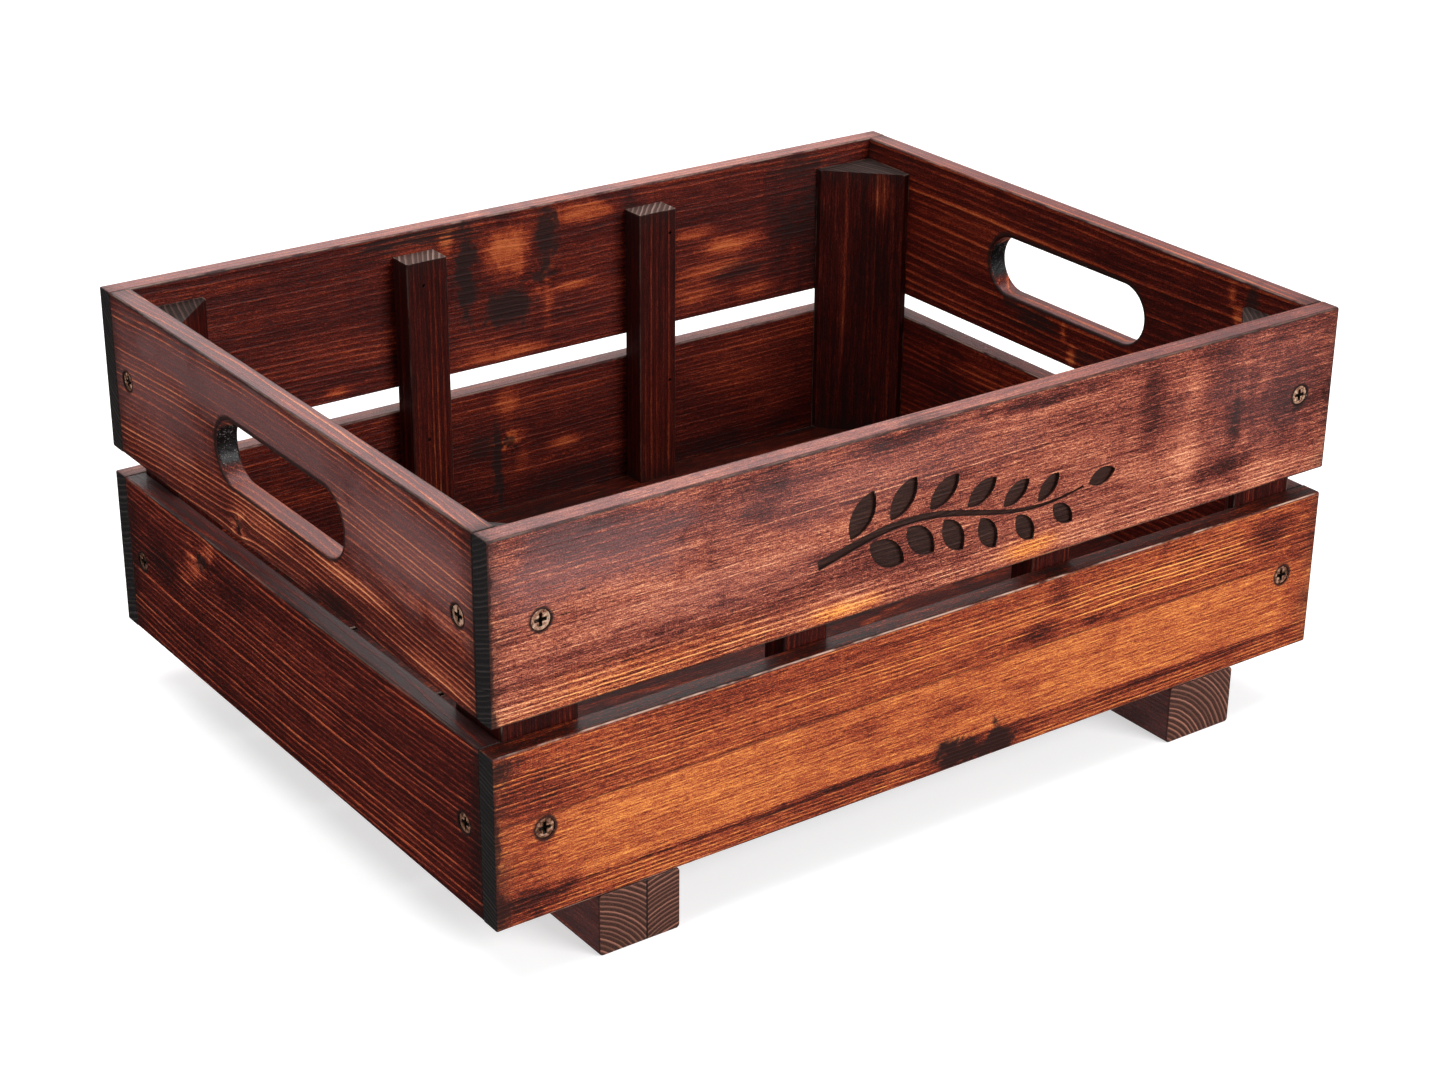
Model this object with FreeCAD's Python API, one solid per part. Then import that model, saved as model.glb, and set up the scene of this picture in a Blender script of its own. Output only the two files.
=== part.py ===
import FreeCAD, Part
import math
import os

# Slatted wooden crate: two tiers of thin boards on all four sides, screwed to corner posts,
# with a boarded floor and two runners under it. Millimetres, +Z up, +X along the long side,
# the decorated front at -Y. The origin is on the ground under the middle of the crate.

Vec = FreeCAD.Vector

# Outside of the boarded box
LENGTH = 400.0
DEPTH = 302.0
BOARD_T = 9.5
LOWER_BOARD_H = 69.0
TIER_GAP = 11.0
UPPER_BOARD_H = 70.0

# Runners
RUNNER_W = 35.0
RUNNER_H = 25.5
RUNNER_CENTRE_X = 140.0

# Floor
FLOOR_T = 9.0
FLOOR_BOARDS = 4
FLOOR_GAP = 2.3

# Corner posts: a square bar sawn along its diagonal, with its two thin tips trimmed
POST_LEG = 31.0
POST_TIP = 3.0
POST_BELOW_RIM = 10.0

# Battens that tie the two tiers together
BATTEN_W = 20.0
BATTEN_T = 12.0
BATTEN_CENTRE_X = 60.0
BATTEN_BELOW_RIM = 10.0

# Hand-holes in the upper end boards
HAND_HOLE_L = 101.0
HAND_HOLE_H = 27.0
HAND_HOLE_EDGE = 1.2

# Eased edges
BOARD_EDGE = 1.0
BUTT_EDGE = 0.25
BAR_EDGE = 0.8
RUNNER_EDGE = 1.6

# Countersunk cross-recess wood screws
HEAD_D = 7.6
HEAD_RIM = 0.4
HEAD_H = 2.6
HEAD_SINK = 0.45
SHANK_D = 4.0
SHANK_L = 8.0
THREAD_ROOT_D = 2.8
THREAD_CREST_D = 4.0
THREAD_PITCH = 1.8
TIP_L = 3.5
HOLE_CLEARANCE = 0.05
WALL_SCREW_L = 18.0
LONG_SCREW_FLOOR_L = 25.0
CROSS_SPAN = 5.0
CROSS_WING = 1.45
CROSS_DEPTH = 2.2
DRIVEN_TURN = 37.0  # degrees each screw stops beyond the one before

# Where the wall screws sit, measured from the outer corners and from each board's mid-height
FRONT_SCREW_INSET_LEFT = 20.5
FRONT_SCREW_INSET_RIGHT = 18.0
END_SCREW_INSET = 20.5
LONG_SCREW_RISE = 1.0

# Headless brads that pin each batten to the boards behind it
BRAD_D = 1.3
BRAD_L = 18.0
BRAD_SINK = 1.2
BRAD_X = {"left": -62.0, "right": 66.5}
BRAD_FROM_TIER_GAP = {"upper": 49.0, "lower": 11.5}

# Branch ornament routed into the upper front board
ORNAMENT_DEPTH = 1.6
ORNAMENT_CENTRE_X = 1.5
ORNAMENT_BELOW_MID = 8.0
STEM_SPAN = 128.0
STEM_WAVE = 5.0
STEM_W = 4.2
LEAF_L = 20.0
LEAF_W = 10.5
LEAF_PAIRS = 6

# Heights of the joints, from the ground
BOX_BOTTOM = RUNNER_H
FLOOR_TOP = BOX_BOTTOM + FLOOR_T
LOWER_TOP = BOX_BOTTOM + LOWER_BOARD_H
UPPER_BOTTOM = LOWER_TOP + TIER_GAP
RIM = UPPER_BOTTOM + UPPER_BOARD_H
POST_TOP = RIM - POST_BELOW_RIM
BATTEN_TOP = RIM - BATTEN_BELOW_RIM
INNER_X = LENGTH / 2 - BOARD_T
INNER_Y = DEPTH / 2 - BOARD_T
TIERS = {"lower": (BOX_BOTTOM, LOWER_BOARD_H), "upper": (UPPER_BOTTOM, UPPER_BOARD_H)}


def box(x0, x1, y0, y1, z0, z1):
    return Part.makeBox(x1 - x0, y1 - y0, z1 - z0, Vec(x0, y0, z0))


def edge_direction(edge):
    """The axis an edge runs along, as 0, 1 or 2, or None for a slanted or curved one."""
    if not isinstance(edge.Curve, Part.Line):
        return None
    run = edge.Vertexes[1].Point - edge.Vertexes[0].Point
    for axis, part in enumerate((run.x, run.y, run.z)):
        if abs(abs(part) - run.Length) < 1e-6:
            return axis
    return None


def eased(solid, long_axis, long_radius, butt_radius):
    """Rounds the edges along the grain by long_radius and the sawn ends by butt_radius."""
    along = [e for e in solid.Edges if edge_direction(e) == long_axis]
    solid = solid.makeFillet(long_radius, along)
    across = [e for e in solid.Edges if edge_direction(e) is not None and edge_direction(e) != long_axis]
    return solid.makeFillet(butt_radius, across)


def turned(shape, direction, position):
    """Carries a shape made along +Z to position, with its +Z turned to direction."""
    shape = shape.copy()
    shape.Placement = FreeCAD.Placement(position, FreeCAD.Rotation(Vec(0, 0, 1), direction))
    return shape


def screw_profile(length, clearance):
    """Half section of a countersunk screw pointing down -Z from its head's top face at z = 0."""
    head = HEAD_D / 2 + clearance
    shank = SHANK_D / 2 + clearance
    root = THREAD_ROOT_D / 2 + clearance
    return [
        (0, 0), (head, 0), (head, -HEAD_RIM), (shank, -HEAD_H),
        (shank, -SHANK_L), (root, -SHANK_L - 0.6), (root, -length + TIP_L), (0, -length),
    ]


def revolved(profile):
    wire = Part.makePolygon([Vec(r, 0, z) for r, z in profile + profile[:1]])
    return Part.Face(wire).revolve(Vec(0, 0, 0), Vec(0, 0, 1), 360)


def cross_recess():
    """The tapered cross cut into a screw's head."""
    half = CROSS_SPAN / 2
    wing = CROSS_WING / 2
    cross = box(-half, half, -wing, wing, -CROSS_DEPTH, 1)
    cross = cross.fuse(box(-wing, wing, -half, half, -CROSS_DEPTH, 1))
    taper = revolved([(0, 1), (half, 1), (half, 0), (0.35 * half, -CROSS_DEPTH), (0, -CROSS_DEPTH)])
    return cross.common(taper)


def thread_ridges(length):
    """The thread as close-set ridges around the core."""
    ridges = []
    z = -SHANK_L - THREAD_PITCH
    while z > -length + TIP_L:
        root = THREAD_ROOT_D / 2 - 0.1
        crest = THREAD_CREST_D / 2 - 0.1
        ridges.append(revolved([(0, z + 0.5), (root, z + 0.5), (crest, z + 0.1), (crest, z - 0.1),
                                (root, z - 0.5), (0, z - 0.5)]))
        z -= THREAD_PITCH
    return ridges


def screw(length):
    body = revolved(screw_profile(length, 0.0))
    return body.multiFuse(thread_ridges(length)).removeSplitter().cut(cross_recess())


def screw_hole(length):
    """The countersink, the clearance hole and the pilot hole that the same screw sits in."""
    seat = revolved(screw_profile(length, HOLE_CLEARANCE))
    mouth = Part.makeCylinder(HEAD_D / 2 + 0.25, HEAD_SINK + 0.6, Vec(0, 0, -0.05))
    crest_r = THREAD_CREST_D / 2 - 0.1 + HOLE_CLEARANCE
    crest = Part.makeCylinder(crest_r, length - TIP_L, Vec(0, 0, -length + TIP_L))
    return seat.multiFuse([mouth, crest])


def screw_sites():
    """Position, outward direction and length of every wall screw, by board name."""
    sites = {}
    for tier, (bottom, height) in TIERS.items():
        z_long = bottom + height / 2 + LONG_SCREW_RISE
        z_end = bottom + height / 2
        left = -LENGTH / 2 + FRONT_SCREW_INSET_LEFT
        right = LENGTH / 2 - FRONT_SCREW_INSET_RIGHT
        end_y = DEPTH / 2 - END_SCREW_INSET
        for side, out in (("front", -1), ("back", 1)):
            y = out * (DEPTH / 2 - HEAD_SINK)
            places = [Vec(x, y, z_long) for x in (left, right)]
            sites[f"{tier}_{side}"] = [(place, Vec(0, out, 0), WALL_SCREW_L) for place in places]
        for side, out in (("left_end", -1), ("right_end", 1)):
            x = out * (LENGTH / 2 - HEAD_SINK)
            places = [Vec(x, y, z_end) for y in (-end_y, end_y)]
            sites[f"{tier}_{side}"] = [(place, Vec(out, 0, 0), WALL_SCREW_L) for place in places]
    return sites


def floor_width():
    return (2 * INNER_Y - (FLOOR_BOARDS - 1) * FLOOR_GAP) / FLOOR_BOARDS


def floor_board_centres():
    width = floor_width()
    return [-INNER_Y + width / 2 + i * (width + FLOOR_GAP) for i in range(FLOOR_BOARDS)]


def floor_sites():
    """Screws through the floor: down into the runners, and up into the posts' feet."""
    sites = {}
    for side, sign in (("left", -1), ("right", 1)):
        x = sign * RUNNER_CENTRE_X
        places = [Vec(x, y, FLOOR_TOP - HEAD_SINK) for y in floor_board_centres()]
        sites[f"runner_{side}"] = [(place, Vec(0, 0, 1), LONG_SCREW_FLOOR_L) for place in places]
    foot_x = INNER_X - POST_LEG / 3
    foot_y = INNER_Y - POST_LEG / 3
    sites["post_foot"] = [
        (Vec(sx * foot_x, sy * foot_y, BOX_BOTTOM + HEAD_SINK), Vec(0, 0, -1), LONG_SCREW_FLOOR_L)
        for sy in (-1, 1) for sx in (-1, 1)
    ]
    return sites


def brad_sites():
    """Each batten is pinned to the upper and the lower board, once each."""
    sites = []
    heights = (UPPER_BOTTOM + BRAD_FROM_TIER_GAP["upper"], LOWER_TOP - BRAD_FROM_TIER_GAP["lower"])
    for sy in (-1, 1):
        y = sy * (INNER_Y - BATTEN_T + BRAD_SINK)
        for x in BRAD_X.values():
            sites += [(Vec(x, y, z), Vec(0, -sy, 0)) for z in heights]
    return sites


def drill(solid, holes):
    for hole in holes:
        if hole.BoundBox.intersect(solid.BoundBox):
            solid = solid.cut(hole)
    return solid


def leaf(root, heading, length, width):
    """A pointed leaf in the XZ plane, as a face."""
    along = Vec(math.cos(heading), 0, math.sin(heading))
    side = Vec(-math.sin(heading), 0, math.cos(heading))
    tip = root + along * length
    belly = root + along * (0.45 * length)
    upper = Part.Arc(root, belly + side * (width / 2), tip).toShape()
    lower = Part.Arc(tip, belly - side * (width / 2), root).toShape()
    return Part.Face(Part.Wire([upper, lower]))


def stem_point(t):
    """The stem's centre line, t from 0 at the thick end to 1 at the tip."""
    x = ORNAMENT_CENTRE_X + (t - 0.5) * STEM_SPAN
    z = UPPER_BOTTOM + UPPER_BOARD_H / 2 - ORNAMENT_BELOW_MID + STEM_WAVE * math.sin(2 * math.pi * (t - 0.08))
    return Vec(x, 0, z)


def stem_heading(t):
    run = stem_point(t + 0.01) - stem_point(t - 0.01)
    return math.atan2(run.z, run.x)


def stem():
    """A wavy stroke that tapers to a point, as a face."""
    steps = 24
    upper = []
    lower = []
    for i in range(steps + 1):
        t = i / steps
        heading = stem_heading(t)
        side = Vec(-math.sin(heading), 0, math.cos(heading)) * (STEM_W / 2 * (1 - 0.75 * t))
        upper.append(stem_point(t) + side)
        lower.append(stem_point(t) - side)
    sides = []
    for points in (upper, list(reversed(lower))):
        curve = Part.BSplineCurve()
        curve.interpolate(points)
        sides.append(curve.toShape())
    ends = [Part.makeLine(upper[-1], lower[-1]), Part.makeLine(lower[0], upper[0])]
    return Part.Face(Part.Wire([sides[0], ends[0], sides[1], ends[1]]))


def ornament():
    """The branch as one cutter that reaches ORNAMENT_DEPTH into the front board."""
    faces = [stem()]
    for i in range(LEAF_PAIRS):
        t = 0.12 + 0.14 * i
        size = 1 - 0.06 * i
        for side in (1, -1):
            at = t + (0.0 if side > 0 else 0.06)
            heading = stem_heading(at)
            normal = Vec(-math.sin(heading), 0, math.cos(heading)) * side
            root = stem_point(at) + normal * (STEM_W / 2 * (1 - 0.75 * at) + 1.0)
            faces.append(leaf(root, heading + side * math.radians(46), LEAF_L * size, LEAF_W * size))
    faces.append(leaf(stem_point(1.02), stem_heading(1.0), LEAF_L * 0.7, LEAF_W * 0.7))
    front = -DEPTH / 2
    cutters = []
    for face in faces:
        face.translate(Vec(0, front - 1, 0))
        cutters.append(face.extrude(Vec(0, 1 + ORNAMENT_DEPTH, 0)))
    return cutters


def hand_hole(x_out, z_mid):
    """The rounded slot through an upper end board, with its rims eased."""
    half = HAND_HOLE_L / 2 - HAND_HOLE_H / 2
    slot = box(-BOARD_T, BOARD_T, -half, half, -HAND_HOLE_H / 2, HAND_HOLE_H / 2)
    for y in (-half, half):
        slot = slot.fuse(Part.makeCylinder(HAND_HOLE_H / 2, 2 * BOARD_T, Vec(-BOARD_T, y, 0), Vec(1, 0, 0)))
    slot = slot.removeSplitter()
    slot.translate(Vec(x_out * (LENGTH / 2 - BOARD_T / 2), 0, z_mid))
    return slot


def rim_edges(solid, z_mid):
    """The edges of the hand-hole on both faces of its board."""
    found = []
    for edge in solid.Edges:
        b = edge.BoundBox
        near = abs(b.YMin) < HAND_HOLE_L / 2 + 0.1 and abs(b.YMax) < HAND_HOLE_L / 2 + 0.1
        level = abs(b.ZMin - z_mid) < HAND_HOLE_H / 2 + 0.1 and abs(b.ZMax - z_mid) < HAND_HOLE_H / 2 + 0.1
        if near and level and b.XLength < 1e-6:
            found.append(edge)
    return found


def walls(holes):
    parts = {}
    for tier, (z0, height) in TIERS.items():
        z1 = z0 + height
        for side, out in (("front", -1), ("back", 1)):
            y0, y1 = sorted((out * INNER_Y, out * DEPTH / 2))
            board = eased(box(-LENGTH / 2, LENGTH / 2, y0, y1, z0, z1), 0, BOARD_EDGE, BOARD_EDGE / 2)
            parts[f"{tier}_{side}_board"] = drill(board, holes)
        for side, out in (("left", -1), ("right", 1)):
            x0, x1 = sorted((out * INNER_X, out * LENGTH / 2))
            board = eased(box(x0, x1, -INNER_Y, INNER_Y, z0, z1), 1, BOARD_EDGE, BUTT_EDGE)
            if tier == "upper":
                z_mid = z0 + height / 2
                board = board.cut(hand_hole(out, z_mid))
                board = board.makeFillet(HAND_HOLE_EDGE, rim_edges(board, z_mid))
            parts[f"{tier}_{side}_end_board"] = drill(board, holes)
    parts["upper_front_board"] = drill(parts["upper_front_board"], ornament())
    return parts


def corner_post(sx, sy):
    """A three-cornered post with its square corner in the crate's corner."""
    section = [(0, 0), (POST_LEG, 0), (POST_LEG, POST_TIP), (POST_TIP, POST_LEG), (0, POST_LEG)]
    points = [Vec(sx * (INNER_X - u), sy * (INNER_Y - v), FLOOR_TOP) for u, v in section]
    post = Part.Face(Part.makePolygon(points + points[:1])).extrude(Vec(0, 0, POST_TOP - FLOOR_TOP))
    upright = [e for e in post.Edges if edge_direction(e) == 2]
    clear = [e for e in upright if abs(e.CenterOfMass.x) < INNER_X - 1 and abs(e.CenterOfMass.y) < INNER_Y - 1]
    return post.makeFillet(BAR_EDGE / 2, clear)


def frame_bars(holes):
    parts = {}
    for front, sy in (("front", -1), ("back", 1)):
        for side, sx in (("left", -1), ("right", 1)):
            parts[f"corner_post_{front}_{side}"] = drill(corner_post(sx, sy), holes)
            y0, y1 = sorted((sy * INNER_Y, sy * (INNER_Y - BATTEN_T)))
            x = sx * BATTEN_CENTRE_X
            bar = box(x - BATTEN_W / 2, x + BATTEN_W / 2, y0, y1, FLOOR_TOP, BATTEN_TOP)
            parts[f"batten_{front}_{side}"] = drill(eased(bar, 2, BAR_EDGE, BUTT_EDGE), holes)
    return parts


def base(holes):
    parts = {}
    width = floor_width()
    names = ("front", "mid_front", "mid_back", "back")
    for name, y in zip(names, floor_board_centres()):
        board = box(-INNER_X, INNER_X, y - width / 2, y + width / 2, BOX_BOTTOM, FLOOR_TOP)
        parts[f"floor_board_{name}"] = drill(eased(board, 0, BOARD_EDGE / 2, BUTT_EDGE), holes)
    for side, sign in (("left", -1), ("right", 1)):
        x = sign * RUNNER_CENTRE_X
        bar = box(x - RUNNER_W / 2, x + RUNNER_W / 2, -DEPTH / 2, DEPTH / 2, 0, RUNNER_H)
        parts[f"runner_{side}"] = drill(eased(bar, 1, RUNNER_EDGE, BOARD_EDGE / 2), holes)
    return parts


def brad_shape(clearance, length):
    return Part.makeCylinder(BRAD_D / 2 + clearance, length, Vec(0, 0, -length))


def fasteners():
    """Screw and brad groups by node name, and the holes that all of them need."""
    groups = {}
    holes = []
    for name, sites in {**screw_sites(), **floor_sites()}.items():
        groups[f"{name}_screws"] = []
        for at, out, length in sites:
            driven = screw(length)
            driven.rotate(Vec(0, 0, 0), Vec(0, 0, 1), len(holes) * DRIVEN_TURN)
            groups[f"{name}_screws"].append(turned(driven, out, at))
            holes.append(turned(screw_hole(length), out, at))
    groups["batten_brads"] = []
    for at, out in brad_sites():
        groups["batten_brads"].append(turned(brad_shape(0.0, BRAD_L), out, at))
        holes.append(turned(brad_shape(HOLE_CLEARANCE, BRAD_L), out, at))
        holes.append(turned(Part.makeCylinder(BRAD_D / 2 + 0.15, BRAD_SINK + 0.5), out, at))
    return groups, holes


os.makedirs("parts", exist_ok=True)
groups, holes = fasteners()
nodes = {**walls(holes), **frame_bars(holes), **base(holes)}
for name, solids in groups.items():
    nodes[name] = Part.makeCompound(solids)
for name, shape in nodes.items():
    shape.exportStep(f"parts/{name}.step")
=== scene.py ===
import math
from collections import namedtuple

import bpy
from mathutils import Matrix, Vector


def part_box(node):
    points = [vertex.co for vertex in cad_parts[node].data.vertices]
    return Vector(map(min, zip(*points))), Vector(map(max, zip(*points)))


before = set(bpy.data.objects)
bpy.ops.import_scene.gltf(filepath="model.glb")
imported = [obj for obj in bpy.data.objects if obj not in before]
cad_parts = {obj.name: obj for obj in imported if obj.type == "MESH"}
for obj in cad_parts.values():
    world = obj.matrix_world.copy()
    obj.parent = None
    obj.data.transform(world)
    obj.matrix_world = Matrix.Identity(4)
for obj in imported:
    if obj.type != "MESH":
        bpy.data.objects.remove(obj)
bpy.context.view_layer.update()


# ---------------------------------------------------------------- node arithmetic

class Num:
    """A value in a material's node tree. Arithmetic on it adds nodes."""

    def __init__(self, graph, socket):
        self.graph = graph
        self.socket = socket

    def __add__(self, other):
        return self.graph.math("ADD", self, other)

    def __sub__(self, other):
        return self.graph.math("SUBTRACT", self, other)

    def __rsub__(self, other):
        return self.graph.math("SUBTRACT", other, self)

    def __mul__(self, other):
        return self.graph.math("MULTIPLY", self, other)

    def __truediv__(self, other):
        return self.graph.math("DIVIDE", self, other)

    def __neg__(self):
        return self.graph.math("MULTIPLY", self, -1.0)

    __radd__ = __add__
    __rmul__ = __mul__


class Graph:
    """One material and the nodes it is built from."""

    def __init__(self, name):
        self.material = bpy.data.materials.new(name)
        self.material.use_nodes = True
        self.tree = self.material.node_tree
        self.tree.nodes.clear()

    def node(self, kind, **settings):
        made = self.tree.nodes.new(kind)
        for key, value in settings.items():
            setattr(made, key, value)
        return made

    def put(self, value, socket):
        """Feed a socket from a node, or set it to a plain value."""
        if isinstance(value, Num):
            self.tree.links.new(value.socket, socket)
        else:
            socket.default_value = value

    def math(self, operation, *values):
        made = self.node("ShaderNodeMath", operation=operation)
        for value, socket in zip(values, made.inputs):
            self.put(value, socket)
        return Num(self, made.outputs[0])

    def most(self, values):
        """The largest of these values."""
        top = values[0]
        for value in values[1:]:
            top = self.math("MAXIMUM", top, value)
        return top

    def vector(self, x, y, z):
        made = self.node("ShaderNodeCombineXYZ")
        for value, socket in zip((x, y, z), made.inputs):
            self.put(value, socket)
        return Num(self, made.outputs[0])

    def noise(self, vector, detail=2.0, roughness=0.5, distortion=0.0):
        """Fractal noise from about 0 to 1, with features one unit across."""
        made = self.node("ShaderNodeTexNoise")
        self.put(vector, made.inputs["Vector"])
        made.inputs["Scale"].default_value = 1.0
        made.inputs["Detail"].default_value = detail
        made.inputs["Roughness"].default_value = roughness
        made.inputs["Distortion"].default_value = distortion
        return Num(self, made.outputs["Fac"])

    def scatter(self, value):
        """A random number from 0 to 1 for each value."""
        made = self.node("ShaderNodeTexWhiteNoise", noise_dimensions="1D")
        self.put(value, made.inputs["W"])
        return Num(self, made.outputs["Value"])

    def step(self, value, low, high):
        """0 below low and 1 above high, with a smooth rise between."""
        made = self.node("ShaderNodeMapRange", interpolation_type="SMOOTHSTEP")
        self.put(value, made.inputs["Value"])
        made.inputs["From Min"].default_value = low
        made.inputs["From Max"].default_value = high
        return Num(self, made.outputs["Result"])

    def mix(self, share, first, second):
        made = self.node("ShaderNodeMix", data_type="RGBA")
        self.put(share, made.inputs[0])
        self.put(colour(first), made.inputs[6])
        self.put(colour(second), made.inputs[7])
        return Num(self, made.outputs[2])

    def ramp(self, value, stops):
        made = self.node("ShaderNodeValToRGB")
        self.put(value, made.inputs["Fac"])
        elements = made.color_ramp.elements
        while len(elements) < len(stops):
            elements.new(0.5)
        for element, (place, shade) in zip(elements, stops):
            element.position = place
            element.color = colour(shade)
        return Num(self, made.outputs["Color"])

    def bump(self, height, distance):
        made = self.node("ShaderNodeBump")
        made.inputs["Strength"].default_value = 1.0
        made.inputs["Distance"].default_value = distance
        self.put(height, made.inputs["Height"])
        return Num(self, made.outputs["Normal"])

    def finish(self, shade, roughness, normal, **fixed):
        """The material, from its shader's inputs; fixed ones are named as in SOCKETS."""
        shader = self.node("ShaderNodeBsdfPrincipled")
        self.put(shade, shader.inputs["Base Color"])
        self.put(roughness, shader.inputs["Roughness"])
        self.put(normal, shader.inputs["Normal"])
        for name, value in fixed.items():
            self.put(value, shader.inputs[SOCKETS[name]])
        output = self.node("ShaderNodeOutputMaterial")
        self.tree.links.new(shader.outputs[0], output.inputs["Surface"])
        return self.material


SOCKETS = {
    "specular": "Specular IOR Level", "coat_weight": "Coat Weight", "coat_roughness": "Coat Roughness",
    "metallic": "Metallic", "glow": "Emission Color", "glow_strength": "Emission Strength",
}


def colour(value):
    return value if isinstance(value, Num) else (*value[:3], 1.0)


# ---------------------------------------------------------------- wood

# Features on a stick, placed in mm in its grain coordinates: blotches, knots, drying checks, and the strips
# that a board is glued up from
Spot = namedtuple("Spot", "u v along across amount")
Knot = namedtuple("Knot", "u v size")
Check = namedtuple("Check", "u v length")
Strip = namedtuple("Strip", "low high tone lines")

# Stained pine from the darkest earlywood to the palest latewood line
CHAR = (0.010, 0.006, 0.005)
CLARET = ((0.044, 0.006, 0.005), (0.195, 0.034, 0.021), (0.46, 0.140, 0.070), (0.76, 0.36, 0.19))
AMBER = ((0.070, 0.006, 0.002), (0.29, 0.040, 0.012), (0.60, 0.182, 0.036), (0.82, 0.36, 0.075))
PLUM = ((0.030, 0.003, 0.002), (0.120, 0.015, 0.008), (0.36, 0.074, 0.026), (0.62, 0.22, 0.090))
OXBLOOD = ((0.026, 0.0016, 0.001), (0.100, 0.008, 0.0036), (0.32, 0.046, 0.013), (0.54, 0.130, 0.036))
DEEP = ((0.014, 0.001, 0.0006), (0.066, 0.0055, 0.0022), (0.24, 0.034, 0.008), (0.50, 0.14, 0.036))
RED = ((0.012, 0.001, 0.0006), (0.050, 0.0035, 0.0018), (0.17, 0.022, 0.008), (0.40, 0.11, 0.034))

# Painted sheen, rubbed wood that is also a painted arris highlight, the routed branch's floor, and painted
# hole shade and glints
BLOOM = (0.31, 0.175, 0.175)
RUBBED = (0.66, 0.44, 0.34)
BRANCH_FLOOR = (0.060, 0.022, 0.016)
PITCH = (0.004, 0.003, 0.003)
GLINT = (0.30, 0.27, 0.26)

# Sawn ends, between the rings and on them
SOOTY_END = ((0.006, 0.005, 0.005), (0.040, 0.029, 0.029))
BAR_END = ((0.040, 0.018, 0.014), (0.30, 0.20, 0.17))
POST_END = ((0.008, 0.004, 0.003), (0.080, 0.040, 0.033))
BROWN_END = ((0.022, 0.006, 0.004), (0.36, 0.15, 0.10))


TONE_STEPS = (0.0, 0.24, 0.48, 0.74, 1.0)  # where charred wood and a palette's four colours stand
SEED_STRIDE = 37.7  # shift of the patterns from one stick to the next
JOINT_WANDER = 0.9  # mm a glued joint strays from its place
SCREW_RING = 4.4  # mm, radius of the painted shadow of the countersink round a screw head
CHECK_HALF_WIDTH = 0.32  # mm
BRANCH_REACH = 84.0  # mm the routed branch reaches either side of the middle
WOOD_RELIEF = 0.00028  # m, depth of the grain

# The looks of a stick that names nothing else
USUAL_LOOKS = {
    # Colours of the outer faces, of the face toward the inside of the crate, and of the sawn ends
    "palette": DEEP, "inner_palette": DEEP, "end_colours": SOOTY_END,
    # Growth rings: spacing in mm, bow along the stick, wander in mm, and how strongly their pale lines show
    "ring": 2.6, "arch": 0.0, "wander": 5.0, "line": 0.3,
    # How pale the stain is outside and inside, and how much paler or darker the narrow faces are painted
    # for the light they catch, with painted shade on the lower boards' tops in the gap under the upper
    # boards
    "tone": 0.5, "inner_tone": 0.45, "edge_tone": -0.1,
    # Strength of the fibre streaks, the pores, the cloudy stain and the flame's smears
    "streak": 1.1, "fleck": 0.8, "cloud": 0.5, "smoke": 0.5,
    # Strength of the burnt ends, of the dark arrises (charring, with painted shade on the rounded edges)
    # and of the painted sheen on the narrow faces
    "burnt_ends": 0.6, "arris": 0.65, "edge_bloom": 0.0,
    # Arrises rubbed pale, which also paints a highlight on the rounded edges: how strongly, and how far in
    # from the ends this begins, in mm
    "rubbed": 0.3, "rub_from": 1.5,
    # Marks: dark and pale stains, chars, patches of painted sheen (the lamps' reflection), golden patches,
    # and patches with stronger lines
    "stains": (), "chars": (), "blooms": (), "golds": (), "lined": (),
    # The face that the marks are strongest on: "inside", "outside" or "both"
    "marked": "both",
    # Features of the wood itself; glued holds a joint's place and the second half's pith
    "knots": (), "checks": (), "strips": (), "glued": None,
    # Features cut into it: a hand hole, and the routed branch
    "slot": None, "engraved": False,
}


class Wood:
    """How one stick of pine looks. Lengths in mm; u runs along the grain, v and w across it."""

    def __init__(self, seed, axes, pith, **looks):
        self.seed = seed
        self.axes = axes
        self.pith = pith
        self.screws = ()
        for look, usual in USUAL_LOOKS.items():
            setattr(self, look, looks.get(look, usual))


def axis_values(graph, axes):
    """The grain coordinates of a point, in mm, with axes such as "xzy" for u, v and w."""
    place = graph.node("ShaderNodeTexCoord")
    split = graph.node("ShaderNodeSeparateXYZ")
    graph.tree.links.new(place.outputs["Object"], split.inputs[0])
    parts = {name: Num(graph, split.outputs[i]) * 1000.0 for i, name in enumerate("xyz")}
    return [parts[name] for name in axes]


def facing(graph, axes):
    """How far the surface faces along each of these axes of the crate, from 0 to 1."""
    place = graph.node("ShaderNodeTexCoord")
    split = graph.node("ShaderNodeSeparateXYZ")
    graph.tree.links.new(place.outputs["Normal"], split.inputs[0])
    return [graph.math("ABSOLUTE", Num(graph, split.outputs["xyz".index(axis)])) for axis in axes]


def spot_mask(graph, u, v, ragged, spot, core=0.15, tear=1.3):
    """A blotch with a ragged edge: its amount in the core, 0 outside."""
    du = (u - spot.u) / spot.along
    dv = (v - spot.v) / spot.across
    far = graph.math("SQRT", du * du + dv * dv)
    return graph.step(far + (ragged - 0.5) * tear, 1.15, core) * spot.amount


def strip_mask(graph, v, ragged, strip):
    """1 on one of the strips a board is glued up from, and 0 off it."""
    place = v + (ragged - 0.5) * JOINT_WANDER
    above = graph.step(place, strip.low - 0.2, strip.low + 0.2)
    below = graph.step(place, strip.high + 0.2, strip.high - 0.2)
    return above * below


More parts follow.
